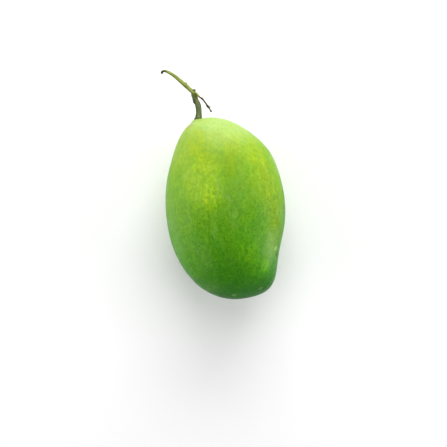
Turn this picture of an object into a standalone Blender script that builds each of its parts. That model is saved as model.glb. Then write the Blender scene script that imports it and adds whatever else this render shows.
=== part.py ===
"""A green mango with the stalk it was picked by, lying on its broad cheek.

The script works in metres. The mango lies with its broad face up: +Z is up, +Y runs along
the fruit from its tip to its stalk end, and +X points to the side with the beak. The origin
is on the ground, in the middle of the small flat spot that the fruit rests on.

Four solids are made: the fruit, the woody pedicel that it hangs from, the rachis that the
pedicel hangs from at a knuckle, and the dry twig that the rachis runs out into.

The shapes are worked out around the fruit's middle, and the finished objects are then
placed so that the flat spot is at the origin.
"""

import math

import bmesh
import bpy
import numpy as np
from mathutils import Vector

MM = 0.001

# Fruit: the outline of its broad face, as degrees from +X and millimetres from the middle
OUTLINE = [
    (19, 43.9),
    (50, 52.3),
    (68, 57.6),
    (104, 63.8),
    (122, 54.0),
    (151, 44.3),
    (172, 42.1),
    (210, 46.8),
    (250, 60.4),
    (280, 62.9),
    (312, 47.8),
    (335, 42.6),
]
HALF_THICKNESS = 36.5 * MM
CHEEK_FULLNESS = 2.1  # exponent of the cross-section: 2 is an ellipse, more is fuller
STALK_END_SWELL = 0.08  # share by which the stalk end is thicker than the middle
BEAK_SIDE_SLIMNESS = 0.05  # share by which the beak's side is thinner than the middle
HALF_LENGTH = 64.5 * MM
HALF_WIDTH = 42.0 * MM
FLAT_DEPTH = 0.45 * MM  # how much of the lower cheek the flat spot takes away

# Beak: the low nose beside the tip
BEAK_DEGREES = 291.0
BEAK_SPREAD = 11.5  # degrees along the outline
BEAK_REACH_ACROSS = 14.0 * MM
BEAK_HEIGHT = 4.5 * MM

# Seat of the stalk: a small level spot that faces +Y
SEAT = Vector((-8.6, 64.3, 0)) * MM
SEAT_RADIUS = 3.3 * MM
SEAT_BLEND_RADIUS = 6.5 * MM

GAP = 0.3  # millimetres between pieces that meet

# Stalk pieces: x, y, z and radius in millimetres, from the fruit's middle
PEDICEL_TOP = (-8.6, 80.7, 0.7, 1.8)
PEDICEL = [
    (-8.6, SEAT.y / MM + GAP, 0.0, 3.1),
    (-8.3, 65.4, 0.0, 2.65),
    (-8.0, 66.8, 0.0, 2.3),
    (-7.5, 69.4, 0.1, 2.05),
    (-7.2, 72.8, 0.2, 2.0),
    (-7.4, 75.5, 0.3, 2.05),
    (-8.3, 77.9, 0.5, 2.05),
    PEDICEL_TOP,
]
RACHIS = [
    (-5.9, 80.7, 2.3, 0.8),
    (-7.1, 82.2, 2.0, 1.0),
    (-8.8, 83.7, 1.6, 1.4),
    (-10.8, 85.8, 1.5, 1.45),
    (-13.2, 89.0, 1.6, 1.55),
    (-17.0, 93.5, 2.2, 1.35),
    (-20.8, 97.8, 2.8, 1.2),
    (-24.2, 100.6, 3.1, 1.0),
    (-26.6, 101.7, 3.1, 0.8),
    (-28.1, 101.3, 2.9, 0.6),
    (-28.7, 99.8, 2.6, 0.4),
]
KNUCKLE = [
    (-8.9, 82.3, 1.0, 1.85),
    (-9.3, 83.9, 1.5, 1.1),
]
BUD = [
    (-9.2, 83.8, 1.6, 0.7),
    (-8.5, 84.9, 1.9, 0.9),
    (-8.1, 85.6, 2.1, 0.85),
    (-7.9, 86.0, 2.2, 0.45),
]
TWIG = [
    (-5.1, 79.5, 2.6, 0.45),
    (-3.6, 78.3, 2.8, 0.75),
    (-2.1, 75.5, 2.8, 0.42),
    (-0.7, 72.5, 2.5, 0.8),
    (0.1, 71.0, 2.3, 0.42),
    (1.0, 68.8, 2.1, 0.65),
    (1.3, 68.0, 2.0, 0.3),
]
SPUR = [
    (-0.5, 72.1, 2.5, 0.4),
    (0.6, 71.9, 2.6, 0.5),
    (1.2, 71.7, 2.7, 0.35),
]

# Mesh fineness
FRUIT_RINGS = 42
FRUIT_SIDES = 60
POLE_CROWDING = 0.7  # 0 spaces the rings evenly, towards 1 crowds them at the two ends
PEDICEL_SIDES = 16
RACHIS_SIDES = 12
TWIG_SIDES = 8
STEPS = 3  # rings for each station of a stalk piece
SHARP_DEGREES = 50  # edges bent by more are shaded as sharp


def clear_scene():
    """Remove whatever the scene holds."""
    for thing in list(bpy.data.objects):
        bpy.data.objects.remove(thing)


def plain_material(name, colour, roughness):
    """A Principled material of one colour."""
    made = bpy.data.materials.new(name)
    made.use_nodes = True
    shader = made.node_tree.nodes["Principled BSDF"]
    shader.inputs["Base Color"].default_value = (*colour, 1.0)
    shader.inputs["Roughness"].default_value = roughness
    shader.inputs["Metallic"].default_value = 0.0
    return made


def add_object(name, body, material):
    """Put a bmesh into the scene as a smooth-shaded object."""
    bmesh.ops.recalc_face_normals(body, faces=body.faces)
    mesh = bpy.data.meshes.new(name)
    body.to_mesh(mesh)
    body.free()
    mesh.materials.append(material)
    mesh.shade_smooth()
    mesh.set_sharp_from_angle(angle=math.radians(SHARP_DEGREES))
    made = bpy.data.objects.new(name, mesh)
    bpy.context.scene.collection.objects.link(made)
    return made


def closed_spline(knots, values):
    """A smooth function of an angle that passes through values at knots and repeats each turn."""
    count = len(knots)
    spans = np.diff(np.append(knots, knots[0] + 2 * math.pi))
    rises = np.diff(np.append(values, values[0])) / spans
    matrix = np.zeros((count, count))
    right = np.zeros(count)
    for i in range(count):
        before = spans[i - 1]
        after = spans[i]
        matrix[i, i - 1] += after
        matrix[i, i] += 2 * (before + after)
        matrix[i, (i + 1) % count] += before
        right[i] = 3 * (after * rises[i - 1] + before * rises[i])
    slopes = np.linalg.solve(matrix, right)

    def value_at(angle):
        turned = knots[0] + (angle - knots[0]) % (2 * math.pi)
        i = int(np.searchsorted(knots, turned, side="right")) - 1
        j = (i + 1) % count
        t = (turned - knots[i]) / spans[i]
        return (
            values[i] * (1 + 2 * t) * (1 - t) ** 2
            + slopes[i] * spans[i] * t * (1 - t) ** 2
            + values[j] * t * t * (3 - 2 * t)
            - slopes[j] * spans[i] * t * t * (1 - t)
        )

    return value_at


outline_radius = closed_spline(
    np.radians([degrees for degrees, _ in OUTLINE]),
    np.array([radius * MM for _, radius in OUTLINE]),
)


def smoothstep(t):
    """0 below 0, 1 above 1, and an even ease between them."""
    t = min(max(t, 0.0), 1.0)
    return t * t * (3 - 2 * t)


def plump_point(direction):
    """Where the skin lies in a direction from the fruit's middle, before its small features."""
    flat = math.hypot(direction.x, direction.y)
    across = flat / outline_radius(math.atan2(direction.y, direction.x))
    upwards = abs(direction.z) / HALF_THICKNESS
    reach = (across**CHEEK_FULLNESS + upwards**CHEEK_FULLNESS) ** (-1 / CHEEK_FULLNESS)
    point = direction * reach
    point.z *= 1 + STALK_END_SWELL * (point.y / HALF_LENGTH) ** 3
    point.z *= 1 - BEAK_SIDE_SLIMNESS * point.x / HALF_WIDTH
    return point


def with_beak(point):
    """Raise the beak beside the tip."""
    turn = math.degrees(math.atan2(point.y, point.x)) - BEAK_DEGREES
    turn = (turn + 180) % 360 - 180
    along = turn / BEAK_SPREAD
    across = point.z / BEAK_REACH_ACROSS
    beak = BEAK_HEIGHT * math.exp(-(along**2) - across**2)
    return point + beak * point.normalized()


def with_seat(point):
    """Level the skin to a small spot around the stalk, and ease it back to round further out."""
    aside = math.hypot(point.x - SEAT.x, point.z - SEAT.z)
    if point.y < 0 or aside > SEAT_BLEND_RADIUS:
        return point
    ease = smoothstep((SEAT_BLEND_RADIUS - aside) / (SEAT_BLEND_RADIUS - SEAT_RADIUS))
    return Vector((point.x, point.y + (SEAT.y - point.y) * ease, point.z))


def skin_point(direction):
    """Where the finished skin lies in a direction from the fruit's middle."""
    return with_seat(with_beak(plump_point(direction)))


def ring_directions(pole, ring):
    """The directions of one ring of skin points, counted from the pole at the stalk."""
    side = Vector((pole.y, -pole.x, 0))
    up = Vector((0, 0, 1))
    share = ring / FRUIT_RINGS
    polar = math.pi * share - POLE_CROWDING / 2 * math.sin(2 * math.pi * share)
    for j in range(FRUIT_SIDES):
        turn = 2 * math.pi * j / FRUIT_SIDES
        around = side * math.cos(turn) + up * math.sin(turn)
        yield pole * math.cos(polar) + around * math.sin(polar)


def cut_flat_spot(body):
    """Slice a little off the lower cheek, close the cut with one flat face and find its middle."""
    lowest = min(vertex.co.z for vertex in body.verts)
    cut = bmesh.ops.bisect_plane(
        body,
        geom=body.verts[:] + body.edges[:] + body.faces[:],
        plane_co=(0, 0, lowest + FLAT_DEPTH),
        plane_no=(0, 0, -1),
        clear_outer=True,
    )
    rim = [item for item in cut["geom_cut"] if isinstance(item, bmesh.types.BMEdge)]
    made = bmesh.ops.contextual_create(body, geom=rim)
    return made["faces"][0].calc_center_bounds()


def build_fruit(material):
    """The fruit: rings of points from the stalk's seat to the tip, with a flat spot below."""
    pole = SEAT.normalized()
    body = bmesh.new()
    stalk_end = body.verts.new(skin_point(pole))
    rings = []
    for ring in range(1, FRUIT_RINGS):
        rings.append([body.verts.new(skin_point(to)) for to in ring_directions(pole, ring)])
    tip = body.verts.new(skin_point(-pole))
    for j in range(FRUIT_SIDES):
        after = (j + 1) % FRUIT_SIDES
        body.faces.new((stalk_end, rings[0][j], rings[0][after]))
        body.faces.new((tip, rings[-1][after], rings[-1][j]))
        for near, far in zip(rings, rings[1:]):
            body.faces.new((near[j], far[j], far[after], near[after]))
    rest_spot = cut_flat_spot(body)
    return add_object("fruit", body, material), rest_spot


def smooth_path(stations):
    """The stations in metres, with more between them on a Catmull-Rom curve."""
    given = np.array(stations) * MM
    padded = np.vstack([2 * given[0] - given[1], given, 2 * given[-1] - given[-2]])
    path = []
    for i in range(1, len(padded) - 2):
        a, b, c, d = padded[i - 1 : i + 3]
        for step in range(STEPS):
            t = step / STEPS
            bend = t**2 * (2 * a - 5 * b + 4 * c - d) + t**3 * (3 * b - a - 3 * c + d)
            path.append(b + 0.5 * (t * (c - a) + bend))
    path.append(given[-1])
    return path


def heading(start, end):
    """The direction from one station to another."""
    return (Vector(end[:3]) - Vector(start[:3])).normalized()


def past_gap(station, direction):
    """The station that lies past the gap, in a direction, where the next piece begins."""
    moved = Vector(station[:3]) + direction * GAP
    return (*moved, station[3])


def add_tube(body, stations, sides, first=None, last=None):
    """Sweep a round section along stations; first and last are the directions of its ends."""
    path = smooth_path(stations)
    centres = [Vector(station[:3]) for station in path]
    tangents = [after - before for before, after in zip(centres, centres[2:])]
    tangents.insert(0, first or centres[1] - centres[0])
    tangents.append(last or centres[-1] - centres[-2])
    rings = []
    for station, centre, tangent in zip(path, centres, tangents):
        aside = tangent.cross(Vector((0, 0, 1))).normalized()
        upward = aside.cross(tangent).normalized()
        ring = []
        for j in range(sides):
            turn = 2 * math.pi * j / sides
            spoke = aside * math.cos(turn) + upward * math.sin(turn)
            ring.append(body.verts.new(centre + spoke * station[3]))
        rings.append(ring)
    for near, far in zip(rings, rings[1:]):
        for j in range(sides):
            after = (j + 1) % sides
            body.faces.new((near[j], near[after], far[after], far[j]))
    body.faces.new(rings[0])
    body.faces.new(rings[-1])


def tube_object(name, material, stations, sides, first=None, last=None):
    """A stalk piece of one tube."""
    body = bmesh.new()
    add_tube(body, stations, sides, first, last)
    return add_object(name, body, material)


def fuse(base, grown):
    """Join what has grown from base to it, in one solid."""
    bpy.context.view_layer.objects.active = base
    for piece in grown:
        union = base.modifiers.new("fuse_" + piece.name, "BOOLEAN")
        union.operation = "UNION"
        union.solver = "EXACT"
        union.object = piece
        bpy.ops.object.modifier_apply(modifier=union.name)
        bpy.data.objects.remove(piece)


def build_pedicel(material):
    """The woody stalk on the seat, with a flared foot."""
    top = heading(PEDICEL[-2], PEDICEL_TOP)
    return tube_object("pedicel", material, PEDICEL, PEDICEL_SIDES, Vector((0, 1, 0)), top)


def build_rachis(material):
    """The branch, with the knuckle that the pedicel hangs from and a dead bud above it."""
    rachis = tube_object(
        "rachis", material, RACHIS, RACHIS_SIDES, heading(RACHIS[0], RACHIS[1])
    )
    down = heading(PEDICEL[-2], PEDICEL_TOP)
    stations = [past_gap(PEDICEL_TOP, down), *KNUCKLE]
    knuckle = tube_object("knuckle", material, stations, RACHIS_SIDES, down)
    bud = tube_object("bud", material, BUD, TWIG_SIDES)
    fuse(rachis, [knuckle, bud])
    return rachis


def build_twig(material):
    """The thin dry twig, thicker where its flowers sat, with one short spur."""
    away = heading(RACHIS[1], RACHIS[0])
    start = past_gap(RACHIS[0], away)
    twig = tube_object("side_twig", material, [start, *TWIG], TWIG_SIDES, away)
    fuse(twig, [tube_object("spur", material, SPUR, TWIG_SIDES)])
    return twig


def main():
    clear_scene()
    fruit, rest_spot = build_fruit(plain_material("mango_skin", (0.24, 0.42, 0.06), 0.42))
    stalk = [
        build_pedicel(plain_material("green_grey_bark", (0.15, 0.19, 0.09), 0.75)),
        build_rachis(plain_material("yellow_green_bark", (0.42, 0.47, 0.17), 0.6)),
        build_twig(plain_material("dry_brown_bark", (0.09, 0.06, 0.035), 0.85)),
    ]
    for piece in [fruit, *stalk]:
        piece.location = -rest_spot


main()
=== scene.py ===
import math

import bmesh
import bpy
import numpy as np
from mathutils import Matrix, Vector, noise


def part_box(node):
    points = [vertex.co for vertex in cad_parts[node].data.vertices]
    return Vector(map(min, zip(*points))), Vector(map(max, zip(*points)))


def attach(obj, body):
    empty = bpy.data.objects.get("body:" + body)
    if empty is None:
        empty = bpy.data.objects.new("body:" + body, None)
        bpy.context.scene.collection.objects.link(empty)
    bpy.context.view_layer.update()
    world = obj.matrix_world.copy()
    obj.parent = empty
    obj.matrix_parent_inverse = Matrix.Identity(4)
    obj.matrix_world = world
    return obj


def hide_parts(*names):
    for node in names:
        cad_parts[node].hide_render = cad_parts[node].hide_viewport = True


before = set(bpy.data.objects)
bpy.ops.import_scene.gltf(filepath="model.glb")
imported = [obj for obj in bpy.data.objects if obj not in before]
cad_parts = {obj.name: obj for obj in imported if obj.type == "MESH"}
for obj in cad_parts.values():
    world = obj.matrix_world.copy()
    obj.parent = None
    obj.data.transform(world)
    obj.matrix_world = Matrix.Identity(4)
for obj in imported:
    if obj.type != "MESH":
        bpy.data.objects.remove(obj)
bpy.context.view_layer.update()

# The look of a green mango with its stalk. Shapes are worked out in millimetres around the
# middle of the fruit's outline, +Y to the stalk end and +Z up, and are moved to the frame of
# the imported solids, in metres, at the end.

MM = 0.001
# Where the outline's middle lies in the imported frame
MIDDLE = np.array((2.414, -0.242, 36.104))

# Fruit: the outline of its broad face, as degrees from +X and millimetres from the middle
OUTLINE = [
    (19, 43.9),
    (50, 52.3),
    (68, 57.6),
    (104, 63.8),
    (122, 54.0),
    (151, 44.3),
    (172, 42.1),
    (210, 46.8),
    (250, 60.4),
    (280, 62.9),
    (312, 47.8),
    (335, 42.6),
]
HALF_THICKNESS = 36.5
CHEEK_FULLNESS = 2.1
STALK_END_SWELL = 0.08
BEAK_SIDE_SLIMNESS = 0.05
HALF_LENGTH = 64.5
HALF_WIDTH = 42.0
BEAK_DEGREES = 291.0
BEAK_SPREAD = 11.5
BEAK_REACH_ACROSS = 14.0
BEAK_HEIGHT = 4.5
SEAT = np.array((-8.6, 64.3, 0.0))
SEAT_RADIUS = 3.3
SEAT_BLEND_RADIUS = 6.5
CUBE_CUTS = 96  # the skin's mesh is a cube of so many squares a side, rounded to the fruit

# Relief of the skin: heights, the lengths of its waves, and where in the noise they start
BROAD_RELIEF = 0.38
BROAD_LENGTHS = (15.0, 24.0, 15.0)
BROAD_START = 11.3
SMALL_RELIEF = 0.07
SMALL_LENGTHS = (4.5, 6.5, 4.5)
SMALL_START = 37.9
COLLAR_HEIGHT = 0.35
COLLAR_RADIUS = 3.9
COLLAR_WIDTH = 1.0
# Dips in the upper cheek: x, y, radius and depth
DIPS = [
    (29.4, -37.3, 1.6, 0.45),
    (26.0, -41.0, 7.0, 0.7),
    (16.5, 12.0, 9.0, 0.3),
    (-20.0, -20.0, 8.0, 0.3),
]
REST_FADE = 9.0  # height over the flat spot at which the relief has faded in
SEAT_CLEAR = 2.0  # distance from the middle of the stalk's seat that has no relief
SEAT_FADE = 8.0  # distance beyond that in which the relief fades in
OUT_OF_REACH = 1e6

# Stalk pieces: x, y, z and radius
PEDICEL = [
    (-8.8, 63.4, 0.0, 3.35),
    (-8.7, 64.5, 0.0, 3.05),
    (-8.4, 65.4, 0.0, 2.6),
    (-8.0, 66.8, 0.0, 2.3),
    (-7.5, 69.4, 0.1, 2.05),
    (-7.2, 72.8, 0.2, 2.0),
    (-7.4, 75.5, 0.3, 2.05),
    (-8.3, 77.9, 0.5, 2.05),
    (-8.6, 80.7, 0.7, 1.8),
    (-8.7, 81.8, 0.8, 1.6),
]
PEDICEL_HEEL = [
    (-11.2, 63.2, 0.0, 0.9),
    (-10.2, 64.6, 0.0, 0.8),
    (-9.6, 65.8, 0.0, 0.6),
]
PEDICEL_NODE_LEFT = [
    (-9.2, 76.2, 0.7, 0.9),
    (-9.3, 77.6, 0.8, 1.15),
    (-9.1, 79.0, 0.9, 0.8),
]
PEDICEL_NODE_RIGHT = [
    (-6.5, 73.6, 0.4, 0.8),
    (-6.4, 75.0, 0.5, 1.0),
    (-6.9, 76.4, 0.6, 0.7),
]
RACHIS = [
    (-5.5, 80.2, 2.5, 0.7),
    (-5.9, 80.7, 2.3, 0.8),
    (-7.1, 82.2, 2.0, 1.05),
    (-8.8, 83.7, 1.6, 1.4),
    (-10.8, 85.8, 1.5, 1.45),
    (-13.2, 89.0, 1.6, 1.5),
    (-17.0, 93.5, 2.2, 1.35),
    (-20.8, 97.8, 2.8, 1.2),
    (-24.2, 100.6, 3.1, 1.0),
    (-26.6, 101.65, 3.1, 0.8),
    (-28.1, 101.2, 2.9, 0.82),
    (-28.5, 100.0, 2.6, 0.66),
]
KNUCKLE = [
    (-8.6, 80.4, 0.7, 1.95),
    (-8.8, 81.6, 0.9, 1.95),
    (-9.1, 82.9, 1.2, 1.7),
    (-9.6, 84.6, 1.5, 1.1),
]
BUD = [
    (-9.0, 83.9, 1.6, 0.7),
    (-8.4, 84.7, 1.9, 0.95),
    (-8.0, 85.2, 2.1, 1.05),
    (-7.8, 85.7, 2.2, 0.7),
]
RACHIS_SCAR = [
    (-14.4, 89.4, 1.9, 0.8),
    (-13.3, 90.3, 2.2, 1.1),
    (-12.6, 91.2, 2.3, 0.5),
]
TWIG = [
    (-6.2, 81.1, 2.2, 0.54),
    (-5.1, 79.6, 2.6, 0.54),
    (-4.2, 78.8, 2.8, 0.56),
    (-3.6, 78.2, 2.8, 0.74),
    (-3.1, 77.4, 2.8, 0.6),
    (-2.1, 75.5, 2.8, 0.56),
    (-1.2, 73.4, 2.6, 0.58),
    (-0.7, 72.4, 2.5, 0.9),
    (-0.2, 71.5, 2.3, 0.6),
    (0.4, 70.2, 2.2, 0.46),
    (0.8, 69.2, 2.1, 0.56),
    (1.05, 68.7, 2.1, 0.72),
    (1.25, 68.1, 2.0, 0.4),
]
SPUR = [
    (-0.5, 72.0, 2.5, 0.44),
    (0.6, 71.75, 2.6, 0.56),
    (1.15, 71.6, 2.7, 0.45),
]
PATH_STEPS = 8
TUBE_SIDES = 28
SOFTEN_FACTOR = 0.5
SOFTEN_ROUNDS = 8
BARK_START = 5.7  # where in the noise the relief of the bark starts

# Camera: it looks straight down on the upper cheek
PICTURE_TILT = math.radians(-9.5)
AIM = Vector((-0.9, -10.4, 36.1)) * MM
CAMERA_DISTANCE = 0.9
CAMERA_LENS = 103.5
CAMERA_NEAREST = 0.01
SENSOR_WIDTH = 36.0

# Stage
FLOOR_RADIUS = 1.0
FLOOR_SIDES = 128
FLOOR_COLOUR = (0.93, 0.93, 0.93)
FLOOR_ROUGHNESS = 0.7
FLOOR_SPECULAR = 0.2
FAR_FLOOR = Vector((0.9, -1.9, 0))
HORIZON_LIGHT = 1.0
ZENITH_LIGHT = 0.36
ZENITH_FROM = 0.4  # upward share of a direction from which the sky is as dim as overhead
# Soft lights: name, degrees clockwise from the picture's top, degrees up, distance, size,
# power and what they face
LIGHTS = [
    ("key", 8, 22, 1.1, (1.0, 0.6), 10, AIM),
    ("high", 5, 50, 1.4, (1.2, 1.2), 8, AIM),
    ("left", -90, 18, 1.1, (0.9, 0.55), 6.6, AIM),
    ("right", 90, 18, 1.1, (0.9, 0.55), 6.2, AIM),
    ("far_floor", 140, 45, 1.25, (0.8, 0.8), 5, FAR_FLOOR),
]


def srgb(red, green, blue):
    """A linear colour from the usual 0 to 255 values."""
    shares = [value / 255 for value in (red, green, blue)]
    return tuple(s / 12.92 if s <= 0.04045 else ((s + 0.055) / 1.055) ** 2.4 for s in shares)


# Shapes

def closed_spline(knots, values):
    """A smooth function of angles that passes through values at knots and repeats each turn."""
    count = len(knots)
    spans = np.diff(np.append(knots, knots[0] + 2 * math.pi))
    rises = np.diff(np.append(values, values[0])) / spans
    matrix = np.zeros((count, count))
    right = np.zeros(count)
    for i in range(count):
        before = spans[i - 1]
        after = spans[i]
        matrix[i, i - 1] += after
        matrix[i, i] += 2 * (before + after)
        matrix[i, (i + 1) % count] += before
        right[i] = 3 * (after * rises[i - 1] + before * rises[i])
    slopes = np.linalg.solve(matrix, right)

    def value_at(angles):
        turned = knots[0] + (angles - knots[0]) % (2 * math.pi)
        i = np.searchsorted(knots, turned, side="right") - 1
        j = (i + 1) % count
        t = (turned - knots[i]) / spans[i]
        return (
            values[i] * (1 + 2 * t) * (1 - t) ** 2
            + slopes[i] * spans[i] * t * (1 - t) ** 2
            + values[j] * t * t * (3 - 2 * t)
            - slopes[j] * spans[i] * t * t * (1 - t)
        )

    return value_at


outline_radius = closed_spline(
    np.radians([degrees for degrees, _ in OUTLINE]),
    np.array([radius for _, radius in OUTLINE]),
)


def smoothstep(t):
    """0 below 0, 1 above 1, and an even ease between them."""
    t = np.clip(t, 0.0, 1.0)
    return t * t * (3 - 2 * t)


def skin_points(directions):
    """Where the skin lies in directions from the fruit's middle, before its relief."""
    flat = np.hypot(directions[:, 0], directions[:, 1])
    across = flat / outline_radius(np.arctan2(directions[:, 1], directions[:, 0]))
    upwards = np.abs(directions[:, 2]) / HALF_THICKNESS
    reach = (across**CHEEK_FULLNESS + upwards**CHEEK_FULLNESS) ** (-1 / CHEEK_FULLNESS)
    points = directions * reach[:, None]
    points[:, 2] *= 1 + STALK_END_SWELL * (points[:, 1] / HALF_LENGTH) ** 3
    points[:, 2] *= 1 - BEAK_SIDE_SLIMNESS * points[:, 0] / HALF_WIDTH

    turn = np.degrees(np.arctan2(points[:, 1], points[:, 0])) - BEAK_DEGREES
    turn = (turn + 180) % 360 - 180
    along = turn / BEAK_SPREAD
    beak = BEAK_HEIGHT * np.exp(-(along**2) - (points[:, 2] / BEAK_REACH_ACROSS) ** 2)
    points *= 1 + (beak / np.linalg.norm(points, axis=1))[:, None]

    aside = np.hypot(points[:, 0] - SEAT[0], points[:, 2] - SEAT[2])
    ease = smoothstep((SEAT_BLEND_RADIUS - aside) / (SEAT_BLEND_RADIUS - SEAT_RADIUS))
    ease[points[:, 1] < 0] = 0
    points[:, 1] += (SEAT[1] - points[:, 1]) * ease
    return points


def noise_at(points, lengths, start):
    """Smooth noise of about -1 to 1 whose waves have the given lengths."""
    scaled = points / np.array(lengths) + start
    return np.array([noise.noise(Vector(place)) for place in scaled])


def cheek_point(points, x, y):
    """The point of the upper cheek that is nearest to a place seen from above."""
    apart = np.hypot(points[:, 0] - x, points[:, 1] - y)
    apart[points[:, 2] < 0] = OUT_OF_REACH
    return points[apart.argmin()]


def skin_relief(points):
    """How far the skin stands out or lies in, with its unevenness, dips and stalk collar."""
    relief = BROAD_RELIEF * noise_at(points, BROAD_LENGTHS, BROAD_START)
    relief += SMALL_RELIEF * noise_at(points, SMALL_LENGTHS, SMALL_START)
    for x, y, radius, depth in DIPS:
        apart = np.linalg.norm(points - cheek_point(points, x, y), axis=1) / radius
        relief -= depth * np.exp(-(apart**2))
    relief *= smoothstep((points[:, 2] + MIDDLE[2]) / REST_FADE)
    from_seat = np.linalg.norm(points - SEAT, axis=1)
    relief *= smoothstep((from_seat - SEAT_CLEAR) / SEAT_FADE)
    collar = (from_seat - COLLAR_RADIUS) / COLLAR_WIDTH
    return relief + COLLAR_HEIGHT * np.exp(-(collar**2))


def mesh_coordinates(mesh):
    """The vertices of a mesh as an array of points."""
    values = np.empty(len(mesh.vertices) * 3, np.float32)
    mesh.vertices.foreach_get("co", values)
    return values.reshape(-1, 3).astype(float)


def set_coordinates(mesh, points):
    """Move the vertices of a mesh to the given points."""
    mesh.vertices.foreach_set("co", points.astype(np.float32).ravel())
    mesh.update()


def mesh_normals(mesh):
    """The normals at the vertices of a mesh."""
    values = np.empty(len(mesh.vertices) * 3, np.float32)
    mesh.vertex_normals.foreach_get("vector", values)
    return values.reshape(-1, 3).astype(float)


def finished(name, mesh, material, node):
    """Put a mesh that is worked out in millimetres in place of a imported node."""
    set_coordinates(mesh, (mesh_coordinates(mesh) + MIDDLE) * MM)
    mesh.materials.append(material)
    mesh.shade_smooth()
    made = bpy.data.objects.new(name, mesh)
    bpy.context.scene.collection.objects.link(made)
    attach(made, "root")
    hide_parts(node)


def build_fruit():
    """The skin of the fruit, from a cube rounded to its shape."""
    body = bmesh.new()
    bmesh.ops.create_cube(body, size=2)
    bmesh.ops.subdivide_edges(body, edges=body.edges, cuts=CUBE_CUTS - 1, use_grid_fill=True)
    mesh = bpy.data.meshes.new("mango_skin")
    body.to_mesh(mesh)
    body.free()
    rounded = np.tan(mesh_coordinates(mesh) * math.pi / 4)
    rounded *= np.sqrt((HALF_WIDTH, HALF_LENGTH, HALF_THICKNESS))
    directions = rounded / np.linalg.norm(rounded, axis=1)[:, None]
    points = skin_points(directions)
    set_coordinates(mesh, points)
    points = points + mesh_normals(mesh) * skin_relief(points)[:, None]
    points[:, 2] = np.maximum(points[:, 2], -MIDDLE[2])
    low, high = (np.array(corner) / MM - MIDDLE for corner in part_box("fruit"))
    least = points.min(axis=0)
    most = points.max(axis=0)
    points = low + (points - least) * (high - low) / (most - least)
    set_coordinates(mesh, points)
    finished("mango_skin", mesh, skin_material(points), "fruit")


def smooth_path(stations):
    """The stations with more between them on a Catmull-Rom curve."""
    given = np.array(stations)
    padded = np.vstack([2 * given[0] - given[1], given, 2 * given[-1] - given[-2]])
    path = []
    for i in range(1, len(padded) - 2):
        a, b, c, d = padded[i - 1 : i + 3]
        for step in range(PATH_STEPS):
            t = step / PATH_STEPS
            bend = t**2 * (2 * a - 5 * b + 4 * c - d) + t**3 * (3 * b - a - 3 * c + d)
            path.append(b + 0.5 * (t * (c - a) + bend))
    path.append(given[-1])
    return np.array(path)


def path_frames(path):
    """The direction of a path and two directions across it, at each of its points."""
    tangents = np.gradient(path[:, :3], axis=0)
    tangents /= np.linalg.norm(tangents, axis=1)[:, None]
    asides = np.cross(tangents, (0, 0, 1))
    asides /= np.linalg.norm(asides, axis=1)[:, None]
    return tangents, asides, np.cross(asides, tangents)


def add_tube(body, path):
    """Sweep a round section along a path, with closed ends."""
    _, asides, upwards = path_frames(path)
    rings = []
    for place, aside, upward in zip(path, asides, upwards):
        ring = []
        for j in range(TUBE_SIDES):
            turn = 2 * math.pi * j / TUBE_SIDES
            spoke = aside * math.cos(turn) + upward * math.sin(turn)
            ring.append(body.verts.new(place[:3] + spoke * place[3]))
        rings.append(ring)
    for near, far in zip(rings, rings[1:]):
        for j in range(TUBE_SIDES):
            after = (j + 1) % TUBE_SIDES
            body.faces.new((near[j], near[after], far[after], far[j]))
    body.faces.new(reversed(rings[0]))
    body.faces.new(rings[-1])


def grain_of(points, path):
    """Points in a frame that follows a path: two distances across it and one along it."""
    tangents, asides, upwards = path_frames(path)
    steps = np.linalg.norm(np.diff(path[:, :3], axis=0), axis=1)
    lengths = np.concatenate([[0], np.cumsum(steps)])
    apart = np.linalg.norm(points[:, None] - path[None, :, :3], axis=2)
    nearest = apart.argmin(axis=1)
    offset = points - path[nearest, :3]
    aside = (offset * asides[nearest]).sum(axis=1)
    upward = (offset * upwards[nearest]).sum(axis=1)
    along = lengths[nearest] + (offset * tangents[nearest]).sum(axis=1)
    return np.stack([aside, upward, along], axis=1)


def build_stalk_piece(name, branches, voxel, relief, material, node):
    """Grow branches together into one skin, with relief along the grain of the first of them.

    The relief gives a height and the lengths of the waves for each of its layers.
    """
    body = bmesh.new()
    paths = [smooth_path(branch) for branch in branches]
    for path in paths:
        add_tube(body, path)
    rough = bpy.data.meshes.new(name + "_tubes")
    body.to_mesh(rough)
    body.free()
    draft = bpy.data.objects.new(name + "_draft", rough)
    bpy.context.scene.collection.objects.link(draft)
    remesh = draft.modifiers.new("grown_together", "REMESH")
    remesh.mode = "VOXEL"
    remesh.voxel_size = voxel
    soften = draft.modifiers.new("soften", "SMOOTH")
    soften.factor = SOFTEN_FACTOR
    soften.iterations = SOFTEN_ROUNDS
    shaped = draft.evaluated_get(bpy.context.evaluated_depsgraph_get())
    mesh = bpy.data.meshes.new_from_object(shaped)
    mesh.name = name
    bpy.data.objects.remove(draft)
    points = mesh_coordinates(mesh)
    grain = grain_of(points, paths[0])
    values = mesh.attributes.new("grain", "FLOAT_VECTOR", "POINT")
    values.data.foreach_set("vector", grain.astype(np.float32).ravel())
    height = 0
    for size, lengths in relief:
        height = height + size * noise_at(grain, lengths, BARK_START)
    set_coordinates(mesh, points + mesh_normals(mesh) * height[:, None])
    finished(name, mesh, material, node)


# Materials

# Small round spots: the cell's random value from which sizes grow to the full one, the
# smallest share of it, and where a spot's edge is soft
SPOT_SIZES = (0.2, 1.0, 0.3, 1.0)
SPOT_EDGE = (0.6, 1.1, 1.0, 0.0)


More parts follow.
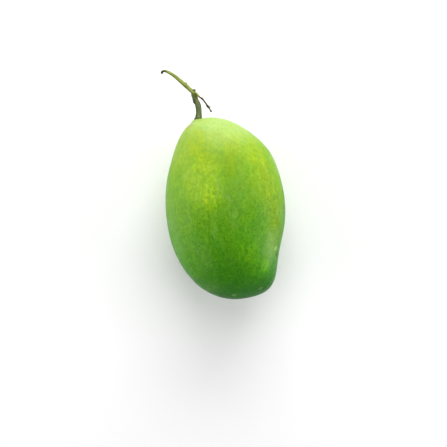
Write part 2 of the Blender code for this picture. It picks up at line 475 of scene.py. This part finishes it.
class Painter:
    """Builds the nodes of one material."""

    def __init__(self, name):
        self.material = bpy.data.materials.new(name)
        self.material.use_nodes = True
        self.tree = self.material.node_tree
        self.shader = self.tree.nodes["Principled BSDF"]

    def add(self, kind, inputs=(), **settings):
        """A node with its settings, and its inputs as values or as the sockets that feed them."""
        made = self.tree.nodes.new(kind)
        for key, value in settings.items():
            setattr(made, key, value)
        for key, value in dict(inputs).items():
            self.feed(made.inputs[key], value)
        return made

    def feed(self, socket, value):
        """Link a socket to another one, or give it a value."""
        if isinstance(value, bpy.types.NodeSocket):
            self.tree.links.new(value, socket)
        elif hasattr(value, "__len__") and len(value) == 3 and socket.type == "RGBA":
            socket.default_value = (*value, 1.0)
        else:
            socket.default_value = value

    def math(self, operation, first, second=0.0):
        """A number worked out from two others."""
        return self.add("ShaderNodeMath", {0: first, 1: second}, operation=operation).outputs[0]

    def vector(self, operation, first, second=(0, 0, 0)):
        """A vector, or the length of one, worked out from others."""
        made = self.add("ShaderNodeVectorMath", {0: first, 1: second}, operation=operation)
        return made.outputs["Value" if operation == "LENGTH" else "Vector"]

    def mix(self, factor, first, second, blend="MIX"):
        """Two colours mixed."""
        made = self.add("ShaderNodeMix", data_type="RGBA", blend_type=blend)
        self.feed(made.inputs[0], factor)
        self.feed(made.inputs[6], first)
        self.feed(made.inputs[7], second)
        return made.outputs[2]

    def tint(self, factor, colour, tint):
        """A colour multiplied by a tint, as far as factor says."""
        return self.mix(factor, colour, self.vector("MULTIPLY", colour, tint))

    def ramp(self, value, stops):
        """A colour that changes with a value through stops."""
        low = stops[0][0]
        high = stops[-1][0]
        made = self.add("ShaderNodeValToRGB")
        made.color_ramp.interpolation = "B_SPLINE"
        elements = made.color_ramp.elements
        while len(elements) < len(stops):
            elements.new(0.5)  # its place is set below
        for element, (place, colour) in zip(elements, stops):
            element.position = (place - low) / (high - low)
            element.color = (*colour, 1.0)
        share = self.math("SUBTRACT", value, low)
        self.feed(made.inputs["Fac"], self.math("DIVIDE", share, high - low))
        return made.outputs["Color"]

    def remap(self, value, low, high, to_low=0.0, to_high=1.0):
        """A value eased from one range to another and kept in it."""
        inputs = {"Value": value, "From Min": low, "From Max": high}
        inputs.update({"To Min": to_low, "To Max": to_high})
        made = self.add("ShaderNodeMapRange", inputs, interpolation_type="SMOOTHSTEP")
        return made.outputs["Result"]

    def noise(self, place, lengths, detail=2.0, roughness=0.5, start=0.0, output="Fac"):
        """Noise whose waves have the given lengths, in the units of place."""
        scale = tuple(1 / length for length in lengths)
        scaled = self.vector("MULTIPLY", place, scale)
        moved = self.vector("ADD", scaled, (start, start, start))
        inputs = {"Vector": moved, "Scale": 1.0, "Detail": detail, "Roughness": roughness}
        return self.add("ShaderNodeTexNoise", inputs).outputs[output]

    def astray(self, place, waves, reach):
        """Offsets that wander with place, by up to about half of reach each way."""
        offset = self.noise(place, *waves, "Color")
        offset = self.vector("SUBTRACT", offset, (0.5, 0.5, 0.5))
        return self.vector("MULTIPLY", offset, reach)

    def spots(self, place, spacing, radius):
        """Small round spots of uneven size: 1 inside, 0 between them."""
        inputs = {"Vector": place, "Scale": 1 / spacing}
        cells = self.add("ShaderNodeTexVoronoi", inputs)
        distance = self.math("MULTIPLY", cells.outputs["Distance"], spacing)
        size = self.add("ShaderNodeSeparateColor", {"Color": cells.outputs["Color"]}).outputs[0]
        reach = self.math("MULTIPLY", self.remap(size, *SPOT_SIZES), radius)
        return self.remap(self.math("DIVIDE", distance, reach), *SPOT_EDGE)

    def patch(self, place, centre, radii, softness):
        """1 in an oval patch and 0 outside it."""
        apart = self.vector("SUBTRACT", place, centre)
        shares = self.vector("DIVIDE", apart, radii)
        distance = self.vector("LENGTH", shares)
        return self.remap(distance, 1 - softness, 1 + softness, 1.0, 0.0)

    def place_in_millimetres(self):
        """Where a point lies from the fruit's middle, in millimetres."""
        object_place = self.add("ShaderNodeTexCoord").outputs["Object"]
        scaled = self.vector("SCALE", object_place)
        scaled.node.inputs["Scale"].default_value = 1 / MM
        return self.vector("SUBTRACT", scaled, tuple(MIDDLE))

    def bump(self, height, distance):
        """Fine relief, with the height of its full range in metres."""
        inputs = {"Height": height, "Distance": distance, "Strength": 1.0}
        made = self.add("ShaderNodeBump", inputs)
        self.feed(self.shader.inputs["Normal"], made.outputs["Normal"])

    def set(self, **values):
        """Set inputs of the shader, named with an underscore for each space."""
        for key, value in values.items():
            self.feed(self.shader.inputs[key.replace("_", " ")], value)


# Skin colour along the fruit: yellower at the stalk end and paler there as a painted highlight,
# greener towards the tip and darker there as painted shade. Millimetres from the middle and a
# linear colour
SKIN_COLOUR_WITH_PAINTED_LIGHT = [
    (-64, (0.003, 0.130, 0.0005)),
    (-36, (0.057, 0.264, 0.003)),
    (0, (0.113, 0.301, 0.009)),
    (32, (0.210, 0.384, 0.012)),
    (56, (0.272, 0.392, 0.048)),
]
# Painted shade: the skin is darkened below the height of its middle, on the low sides and
# underside, and this fades out above it
SIDE_SHADE_FADE = (2, 24, 1, 0)  # heights at which the tint of the sides is full and gone

# Tints that multiply the skin's colour
YELLOW = (1.46, 1.20, 0.6)
GOLD = (1.42, 1.02, 0.4)
FRESH = (1.7, 1.3, 0.25)
DEEP = (0.8, 0.85, 0.3)
WARM = (1.19, 1.08, 0.8)
BRIGHT = (1.25, 1.22, 1.3)
LIGHT_CELL = (1.16, 1.12, 1.2)
DARK_CELL = (0.78, 0.84, 0.65)
# painted shade for the low sides and underside
SIDE_PAINTED_SHADE = (0.72, 0.84, 0.5)
OLIVE = (1.12, 0.97, 0.3)
GREEN = (0.78, 0.93, 1.2)
DARK = (0.66, 0.80, 0.6)
BROWN = (1.05, 0.52, 0.6)
# Colours of the thin pale bloom, which at the stalk end is also a painted highlight, and of the
# pores
BLOOM_AND_HIGHLIGHT = (0.42, 0.60, 0.20)
PALE_PORE = (0.36, 0.52, 0.11)

# Waves of noise: their lengths in millimetres, detail, roughness, and where they start
WANDER_WAVES = ((9, 9, 9), 3, 0.6, 4.0)
FRAY_WAVES = ((0.9, 0.9, 0.9), 2, 0.6, 33.0)
WARM_WAVES = ((11, 26, 11), 5, 0.62, 2.0)
COOL_WAVES = ((10, 26, 10), 5, 0.62, 9.0)
BLOTCH_WAVES = ((4.5, 6.5, 4.5), 3, 0.6, 27.0)
MOTTLE_WAVES = ((2.6, 3.4, 2.6), 3, 0.7, 6.0)
CELL_WAVES = ((2.2, 3.2, 2.2), 3, 0.7, 18.0)
FLECK_WAVES = ((1.3, 1.8, 1.3), 2, 0.6, 41.0)
STREAK_WAVES = ((1.4, 13.0, 1.4), 4, 0.6, 8.0)
BLOOM_WAVES = ((6, 19, 6), 5, 0.65, 15.0)
RUBBED_WAVES = ((1.6, 4.5, 1.6), 4, 0.7, 21.0)
GLOSS_WAVES = ((6, 9, 6), 3, 0.6, 12.0)
GRAIN_WAVES = ((0.5, 0.5, 0.5), 2, 0.5, 1.0)

# How far the edges of patches and marks wander, and how far those of marks fray as well
WANDER_REACH = (7, 12, 7)
MARK_WANDER = (0.15, 0.15, 0.15)
FRAY_REACH = (2.4, 2.4, 2.4)

# Changes along the fruit: two places on Y, and the shares of the full strength there
AT_THE_TIP = (-55, -25, 1.0, 0.0)
CALM_AT_THE_STALK = (30, 58, 1.0, 0.45)
FADING_TO_THE_STALK = (-20, 45, 1.0, 0.1)
# Layers of mottle: waves, the two values of the noise between which the strength changes,
# the strengths there, the change along the fruit, and the tint
BROAD_LAYERS = [
    (WARM_WAVES, (0.45, 0.65), (0.0, 0.9), None, WARM),
    (COOL_WAVES, (0.45, 0.65), (0.0, 0.8), None, GREEN),
]
FINE_LAYERS = [
    (BLOTCH_WAVES, (0.5, 0.66), (0.0, 0.5), AT_THE_TIP, FRESH),
    (MOTTLE_WAVES, (0.4, 0.66), (0.0, 0.9), CALM_AT_THE_STALK, DARK_CELL),
    (CELL_WAVES, (0.44, 0.66), (0.0, 1.0), CALM_AT_THE_STALK, LIGHT_CELL),
    (FLECK_WAVES, (0.38, 0.5), (1.0, 0.0), FADING_TO_THE_STALK, DARK_CELL),
    (FLECK_WAVES, (0.5, 0.62), (0.0, 1.0), FADING_TO_THE_STALK, LIGHT_CELL),
    (STREAK_WAVES, (0.42, 0.66), (0.0, 0.7), None, OLIVE),
]

# Patches of the upper cheek: x, y, radius across, radius along, tint, strength. Each is a
# ball whose depth is a share of its radius across.
PATCH_DEPTH = 1.2
PATCH_SOFTNESS = 0.85
GRIT = (0.38, 0.62, 0.5, 1.2)  # noise values, and how much of a patch they leave
PATCHES = [
    (-13.5, 17.0, 10, 14, YELLOW, 0.9),
    (-8.0, 7.5, 5, 7, YELLOW, 0.8),
    (-12.0, 18.0, 10, 16, BRIGHT, 0.6),
    (32.0, 2.0, 8, 26, GOLD, 0.9),
    (31.5, -24.0, 6, 18, GOLD, 1.0),
    (9.0, 30.0, 7, 8, DEEP, 0.9),
    (23.0, 6.0, 5, 9, DARK, 0.25),
    (9.5, 6.0, 8, 18, DARK, 0.4),
    (-31.5, 4.0, 7, 15, DARK, 0.25),
    (-7.0, 36.0, 6, 6, DARK, 0.15),
    (22.0, 39.5, 9, 7, YELLOW, 0.3),
    (-11.5, 1.5, 3, 6, OLIVE, 0.55),
    (-3.9, -16.0, 3, 14, OLIVE, 0.45),
    (9.5, -31.0, 7, 6, FRESH, 0.6),
    (14.0, -42.5, 7, 9, FRESH, 1.0),
    (20.0, -46.0, 4, 7, FRESH, 0.8),
    (-26.7, -44.4, 7, 6, OLIVE, 0.7),
    (7.0, 10.0, 9, 12, GREEN, 0.6),
    (-35.0, 20.0, 8, 14, GREEN, 0.5),
    (-13.0, -33.0, 9, 8, GREEN, 0.5),
    (-3.5, -36.5, 5, 6, DARK, 0.4),
]
# Small marks, given the same way, that keep their place
MARKS = [
    (29.0, -28.8, 0.9, 1.7, BROWN, 0.9),
    (28.4, -24.6, 0.5, 0.6, BROWN, 0.7),
    (29.6, -37.0, 1.1, 2.2, BROWN, 0.9),
    (31.0, -39.5, 0.7, 1.0, BROWN, 0.7),
    (17.2, -59.4, 2.2, 1.1, BROWN, 0.8),
    (11.5, -60.4, 1.0, 0.8, BROWN, 0.6),
    (22.6, -53.2, 0.9, 1.4, BROWN, 0.6),
    (24.6, -49.0, 0.6, 1.6, DARK, 0.8),
    (20.4, -55.6, 1.5, 0.8, BROWN, 0.5),
    (-15.8, 60.2, 3.8, 1.7, BROWN, 0.9),
    (-14.6, 1.6, 0.6, 0.8, DARK, 0.7),
    (-2.0, 25.0, 0.5, 0.7, DARK, 0.6),
]
# Places where the bloom is thick, or rubbed off, the first two being a painted highlight on the
# stalk-end shoulder: x, y, radius across, radius along, strength
BLOOM_AND_HIGHLIGHT_PATCHES = [
    # The next two are a painted highlight on the stalk-end shoulder, laid on as thick bloom
    (14.0, 54.0, 17, 9, 0.40),
    (-4.0, 61.0, 13, 5, 0.34),
    (26.0, -32.0, 5.5, 12, 0.30),
    (-19.5, -52.0, 7, 4, 0.08),
    (-36.0, -10.0, 5, 22, 0.12),
    (-20.0, -30.0, 8, 12, 0.07),
    (-13.0, 20.0, 9, 14, 0.07),
    (9.5, 4.0, 9, 14, 0.05),
    (9.0, 30.0, 7, 8, -0.12),
    (10.0, -36.0, 8, 12, -0.06),
    (17.0, -18.0, 7, 14, -0.05),
    (26.5, -12.0, 6, 12, -0.05),
    (-8.5, -28.0, 6, 8, -0.07),
    (-7.0, 36.0, 6, 6, -0.06),
]
# Small pale marks in the bloom, given the same way, that keep their place
BLOOM_MARKS = [
    (29.3, -32.9, 1.2, 1.6, 0.5),
    (14.8, -58.6, 1.3, 0.9, 0.25),
    (28.2, -40.6, 0.6, 0.8, 0.2),
    (25.2, -49.4, 0.7, 0.7, 0.3),
    (-4.2, -60.1, 1.5, 0.7, 0.32),
]
BLOOM = (0.48, 0.70, 0.0, 0.12)  # noise values, and the strength of the bloom at them
BLOOM_ALONG = (-60, -20, 0.1, 1.0)
RUBBED = (0.35, 0.65, 0.7, 1.15)  # noise values, and how much of the bloom they leave

PORE_SPACING = 2.1
PORE_RADIUS = 0.36
PORE_STRENGTH = 0.3
SKIN_ROUGHNESS = (0.3, 0.7, 0.36, 0.50)  # noise values, and the roughness at them
SKIN_SPECULAR = 0.12
SKIN_GLOW = 0.08  # share of the light that goes a little way through the skin
SKIN_GLOW_DEPTH = 0.002
SKIN_GLOW_COLOURS = (0.7, 1.0, 0.25)
SKIN_BUMP = 0.00005  # height of the finest relief, in metres
GRAIN_HEIGHT = 0.3  # shares of that height
PORE_HEIGHT = 0.7


def cheek_patch(paint, place, points, x, y, across, lengthwise):
    """The mask of an oval patch on the upper cheek."""
    centre = (x, y, float(cheek_point(points, x, y)[2]))
    radii = (across, lengthwise, PATCH_DEPTH * across)
    return paint.patch(place, centre, radii, PATCH_SOFTNESS)


def with_layer(paint, place, along, colour, layer):
    """A colour with one layer of mottle over it."""
    waves, limits, strengths, change, tint = layer
    strength = paint.remap(paint.noise(place, *waves), *limits, *strengths)
    if change:
        strength = paint.math("MULTIPLY", strength, paint.remap(along, *change))
    return paint.tint(strength, colour, tint)


def skin_material(points):
    """Waxy green skin with blotches, pale pores, bloom and a few blemishes, with painted shade
    towards the tip and on the low sides, and a painted highlight at the stalk end.
    """
    paint = Painter("mango_skin")
    place = paint.place_in_millimetres()
    split = paint.add("ShaderNodeSeparateXYZ", {"Vector": place})
    along = split.outputs["Y"]
    wander = paint.astray(place, WANDER_WAVES, WANDER_REACH)
    strayed = paint.vector("ADD", place, wander)
    frayed = paint.vector("ADD", place, paint.vector("MULTIPLY", wander, MARK_WANDER))
    frayed = paint.vector("ADD", frayed, paint.astray(place, FRAY_WAVES, FRAY_REACH))

    # The skin's colour along the fruit, with painted shade darkening the tip and a painted
    # highlight paling the stalk end
    colour = paint.ramp(along, SKIN_COLOUR_WITH_PAINTED_LIGHT)
    # Painted shade on the low sides and underside
    colour = paint.tint(paint.remap(split.outputs["Z"], *SIDE_SHADE_FADE), colour, SIDE_PAINTED_SHADE)
    for layer in BROAD_LAYERS:
        colour = with_layer(paint, place, along, colour, layer)
    grit = paint.remap(paint.noise(place, *CELL_WAVES), *GRIT)
    for where, spots in ((strayed, PATCHES), (frayed, MARKS)):
        for x, y, across, lengthwise, tint, strength in spots:
            mask = cheek_patch(paint, where, points, x, y, across, lengthwise)
            share = paint.math("MULTIPLY", mask, strength)
            colour = paint.tint(paint.math("MULTIPLY", share, grit), colour, tint)
    for layer in FINE_LAYERS:
        colour = with_layer(paint, place, along, colour, layer)

    # Bloom, with a painted highlight laid on as bloom at the stalk end
    bloom_and_highlight = paint.remap(paint.noise(strayed, *BLOOM_WAVES), *BLOOM)
    bloom_and_highlight = paint.math("MULTIPLY", bloom_and_highlight, paint.remap(along, *BLOOM_ALONG))
    for where, spots in ((strayed, BLOOM_AND_HIGHLIGHT_PATCHES), (frayed, BLOOM_MARKS)):
        for x, y, across, lengthwise, strength in spots:
            mask = cheek_patch(paint, where, points, x, y, across, lengthwise)
            bloom_and_highlight = paint.math("ADD", bloom_and_highlight, paint.math("MULTIPLY", mask, strength))
    rubbed = paint.remap(paint.noise(place, *RUBBED_WAVES), *RUBBED)
    colour = paint.mix(paint.math("MULTIPLY", bloom_and_highlight, rubbed), colour, BLOOM_AND_HIGHLIGHT)
    pores = paint.spots(place, PORE_SPACING, PORE_RADIUS)
    colour = paint.mix(paint.math("MULTIPLY", pores, PORE_STRENGTH), colour, PALE_PORE)

    paint.set(Base_Color=colour)
    paint.set(Roughness=paint.remap(paint.noise(place, *GLOSS_WAVES), *SKIN_ROUGHNESS))
    paint.set(Specular_IOR_Level=SKIN_SPECULAR)
    paint.set(Subsurface_Weight=SKIN_GLOW, Subsurface_Scale=SKIN_GLOW_DEPTH)
    paint.shader.inputs["Subsurface Radius"].default_value = SKIN_GLOW_COLOURS
    height = paint.math("MULTIPLY", paint.noise(place, *GRAIN_WAVES), GRAIN_HEIGHT)
    height = paint.math("ADD", height, paint.math("MULTIPLY", pores, PORE_HEIGHT))
    paint.bump(height, SKIN_BUMP)
    return paint.material


# Bark: waves of noise along the grain, as for the skin, and what they do
BARK_STREAKS = (4, 0.65, 3.0)  # detail, roughness and start of streaks of any length
BARK_STREAK_LIMITS = (0.35, 0.65)
BARK_FLECK_WAVES = ((0.35, 0.35, 0.7), 3, 0.7, 13.0)
BARK_FLECKS = (0.5, 0.7, 0.0, 0.7)
BARK_FLECK_TINT = (0.55, 0.6, 0.5)
PALE_SPOT_SPACING = 0.9
PALE_SPOT_RADIUS = 0.2
PALE_SPOT_STRENGTH = 0.6
PALE_SPOT_TINT = (1.5, 1.45, 1.4)
# Painted shade on one side of the stalk: noise that makes its edge wander, and places across the
# stalk with its strength there
SHADED_SIDE_WAVES = ((0.8, 0.8, 2.5), 2, 0.5, 31.0)
SHADED_SIDE_WANDER = 1.2
SHADED_SIDE = (-1.0, 0.6, 1.0, 0.0)  # places across the stalk, and the strength there
BARK_PATCH_SOFTNESS = 0.5
BARK_SPECULAR = 0.15
BARK_BUMP = 0.0001  # height of the finest relief, in metres
BARK_FLECK_HEIGHT = 0.5


def bark_material(name, light, dark, painted_shade_tint, streaks, roughness, patches):
    """Stalk bark with streaks along the grain, one side darkened with painted shade, flecks and
    marks.

    Each patch gives its centre, radii, colour and strength.
    """
    paint = Painter(name)
    place = paint.place_in_millimetres()
    grain = paint.add("ShaderNodeAttribute", attribute_name="grain").outputs["Vector"]
    streak = paint.noise(grain, streaks, *BARK_STREAKS)
    colour = paint.mix(paint.remap(streak, *BARK_STREAK_LIMITS), dark, light)
    flecks = paint.noise(grain, *BARK_FLECK_WAVES)
    colour = paint.tint(paint.remap(flecks, *BARK_FLECKS), colour, BARK_FLECK_TINT)
    pale = paint.spots(place, PALE_SPOT_SPACING, PALE_SPOT_RADIUS)
    pale = paint.math("MULTIPLY", pale, PALE_SPOT_STRENGTH)
    colour = paint.tint(pale, colour, PALE_SPOT_TINT)
    # Painted shade: one side of the stalk darker, with a wandering edge
    aside = paint.add("ShaderNodeSeparateXYZ", {"Vector": grain}).outputs["X"]
    uneven = paint.noise(grain, *SHADED_SIDE_WAVES)
    aside = paint.math("ADD", aside, paint.math("MULTIPLY", uneven, SHADED_SIDE_WANDER))
    colour = paint.tint(paint.remap(aside, *SHADED_SIDE), colour, painted_shade_tint)
    for centre, radii, mark, strength in patches:
        mask = paint.patch(place, centre, radii, BARK_PATCH_SOFTNESS)
        colour = paint.mix(paint.math("MULTIPLY", mask, strength), colour, mark)
    paint.set(Base_Color=colour, Roughness=roughness, Specular_IOR_Level=BARK_SPECULAR)
    height = paint.math("ADD", streak, paint.math("MULTIPLY", flecks, BARK_FLECK_HEIGHT))
    paint.bump(height, BARK_BUMP)
    return paint.material


# Stage, camera and light

def build_floor():
    """A plain pale round floor."""
    mesh = bpy.data.meshes.new("floor")
    turns = [2 * math.pi * i / FLOOR_SIDES for i in range(FLOOR_SIDES)]
    rim = [(FLOOR_RADIUS * math.cos(turn), FLOOR_RADIUS * math.sin(turn), 0) for turn in turns]
    mesh.from_pydata(rim, [], [range(FLOOR_SIDES)])
    floor = bpy.data.objects.new("floor", mesh)
    bpy.context.scene.collection.objects.link(floor)
    paint = Painter("floor")
    paint.set(Base_Color=FLOOR_COLOUR, Roughness=FLOOR_ROUGHNESS)
    paint.set(Specular_IOR_Level=FLOOR_SPECULAR)
    mesh.materials.append(paint.material)


def build_camera():
    """A camera that looks straight down and is turned to lean the fruit as in the photo."""
    data = bpy.data.cameras.new("camera")
    data.lens = CAMERA_LENS
    data.sensor_width = SENSOR_WIDTH
    data.clip_start = CAMERA_NEAREST
    camera = bpy.data.objects.new("camera", data)
    bpy.context.scene.collection.objects.link(camera)
    camera.location = AIM + Vector((0, 0, CAMERA_DISTANCE))
    camera.rotation_euler = (0, 0, PICTURE_TILT)
    bpy.context.scene.camera = camera


def add_light(name, azimuth, elevation, distance, size, power, target):
    """A soft light, placed round the fruit, that faces a target."""
    data = bpy.data.lights.new(name, "AREA")
    data.shape = "RECTANGLE"
    data.size, data.size_y = size
    data.energy = power
    light = bpy.data.objects.new(name, data)
    bpy.context.scene.collection.objects.link(light)
    turn = math.radians(azimuth) - PICTURE_TILT
    rise = math.radians(elevation)
    to_light = Vector(
        (math.sin(turn) * math.cos(rise), math.cos(turn) * math.cos(rise), math.sin(rise))
    )
    light.location = AIM + to_light * distance
    light.rotation_euler = (light.location - target).to_track_quat("Z", "Y").to_euler()


def build_world():
    """Pale light from the whole sky, brighter at the horizon."""
    world = bpy.data.worlds.new("world")
    world.use_nodes = True
    tree = world.node_tree
    background = tree.nodes["Background"]
    background.inputs["Color"].default_value = (1.0, 1.0, 1.0, 1.0)
    place = tree.nodes.new("ShaderNodeTexCoord")
    split = tree.nodes.new("ShaderNodeSeparateXYZ")
    ease = tree.nodes.new("ShaderNodeMapRange")
    ease.interpolation_type = "SMOOTHSTEP"
    ease.inputs["From Min"].default_value = 0.0
    ease.inputs["From Max"].default_value = ZENITH_FROM
    ease.inputs["To Min"].default_value = HORIZON_LIGHT
    ease.inputs["To Max"].default_value = ZENITH_LIGHT
    tree.links.new(place.outputs["Generated"], split.inputs["Vector"])
    tree.links.new(split.outputs["Z"], ease.inputs["Value"])
    tree.links.new(ease.outputs["Result"], background.inputs["Strength"])
    bpy.context.scene.world = world


build_camera()
build_floor()
for light in LIGHTS:
    add_light(*light)
build_world()
bpy.context.scene.view_settings.view_transform = "Standard"

build_fruit()

build_stalk_piece(
    "pedicel_bark",
    [PEDICEL, PEDICEL_HEEL, PEDICEL_NODE_LEFT, PEDICEL_NODE_RIGHT],
    voxel=0.14,
    relief=[(0.12, (0.8, 0.8, 5.0)), (0.06, (0.35, 0.35, 1.2))],
    material=bark_material(
        "pedicel_bark",
        light=srgb(122, 130, 90),
        dark=srgb(70, 82, 47),
        painted_shade_tint=(0.5, 0.55, 0.55),
        streaks=(0.7, 0.7, 3.0),
        roughness=0.75,
        patches=[
            # painted shade where the stalk's foot meets the skin
            ((-9.4, 64.6, 0), (5, 1.1, 5), srgb(66, 82, 40), 0.85),
            ((-5.6, 66.5, 1), (1.6, 2.4, 3), srgb(70, 94, 26), 0.7),
            ((-6.4, 71.5, 1), (1.3, 3.4, 3), srgb(84, 106, 64), 0.5),
            ((-9.8, 77.2, 1), (1.5, 1.8, 3), srgb(62, 66, 46), 0.85),
            ((-7.2, 76.6, 1), (1.2, 2.0, 3), srgb(124, 122, 80), 0.5),
            ((-7.4, 80.5, 1), (2.4, 1.8, 3), srgb(78, 90, 26), 0.8),
        ],
    ),
    node="pedicel",
)
build_stalk_piece(
    "rachis_bark",
    [RACHIS, KNUCKLE, BUD, RACHIS_SCAR],
    voxel=0.13,
    relief=[(0.09, (0.5, 0.5, 5.0)), (0.04, (0.3, 0.3, 1.0))],
    material=bark_material(
        "rachis_bark",
        light=srgb(161, 168, 90),
        dark=srgb(117, 128, 50),
        painted_shade_tint=(0.42, 0.48, 0.35),
        streaks=(0.45, 0.45, 5.0),
        roughness=0.65,
        patches=[
            ((-28.2, 100.9, 2.8), (1.9, 1.9, 3), srgb(36, 32, 28), 0.95),
            ((-26.2, 101.2, 2.8), (1.6, 1.2, 3), srgb(74, 78, 40), 0.8),
            ((-8.0, 85.2, 2.0), (1.2, 1.2, 1.6), srgb(50, 54, 34), 0.9),
            ((-13.9, 88.3, 1.5), (1.0, 1.0, 2), srgb(84, 96, 34), 0.8),
            ((-12.4, 90.4, 2.0), (0.8, 0.8, 1.5), srgb(116, 126, 60), 0.6),
            ((-8.0, 81.7, 1.8), (1.6, 1.6, 2.4), srgb(70, 84, 14), 0.85),
            # painted shade under the knuckle, where the pedicel meets it
            ((-9.6, 80.8, 0.9), (1.8, 1.8, 3), srgb(84, 96, 54), 0.8),
            ((-5.9, 80.8, 2.3), (0.9, 0.9, 2), srgb(130, 138, 84), 0.6),
        ],
    ),
    node="rachis",
)
build_stalk_piece(
    "twig_bark",
    [TWIG, SPUR],
    voxel=0.09,
    relief=[(0.05, (0.3, 0.3, 1.5))],
    material=bark_material(
        "twig_bark",
        light=srgb(86, 76, 60),
        dark=srgb(52, 43, 33),
        painted_shade_tint=(0.7, 0.68, 0.66),
        streaks=(0.3, 0.3, 1.5),
        roughness=0.85,
        patches=[
            ((-5.0, 79.7, 2.6), (1.2, 1.2, 2), srgb(96, 62, 44), 0.7),
            ((-3.6, 78.2, 2.8), (0.9, 0.9, 2), srgb(34, 28, 22), 0.9),
            ((-0.7, 72.4, 2.5), (1.1, 1.1, 2), srgb(40, 36, 26), 0.85),
            ((0.9, 71.7, 2.6), (0.8, 0.7, 2), srgb(150, 150, 116), 0.9),
            ((1.1, 68.6, 2.0), (1.0, 0.9, 2), srgb(36, 32, 24), 0.9),
        ],
    ),
    node="side_twig",
)
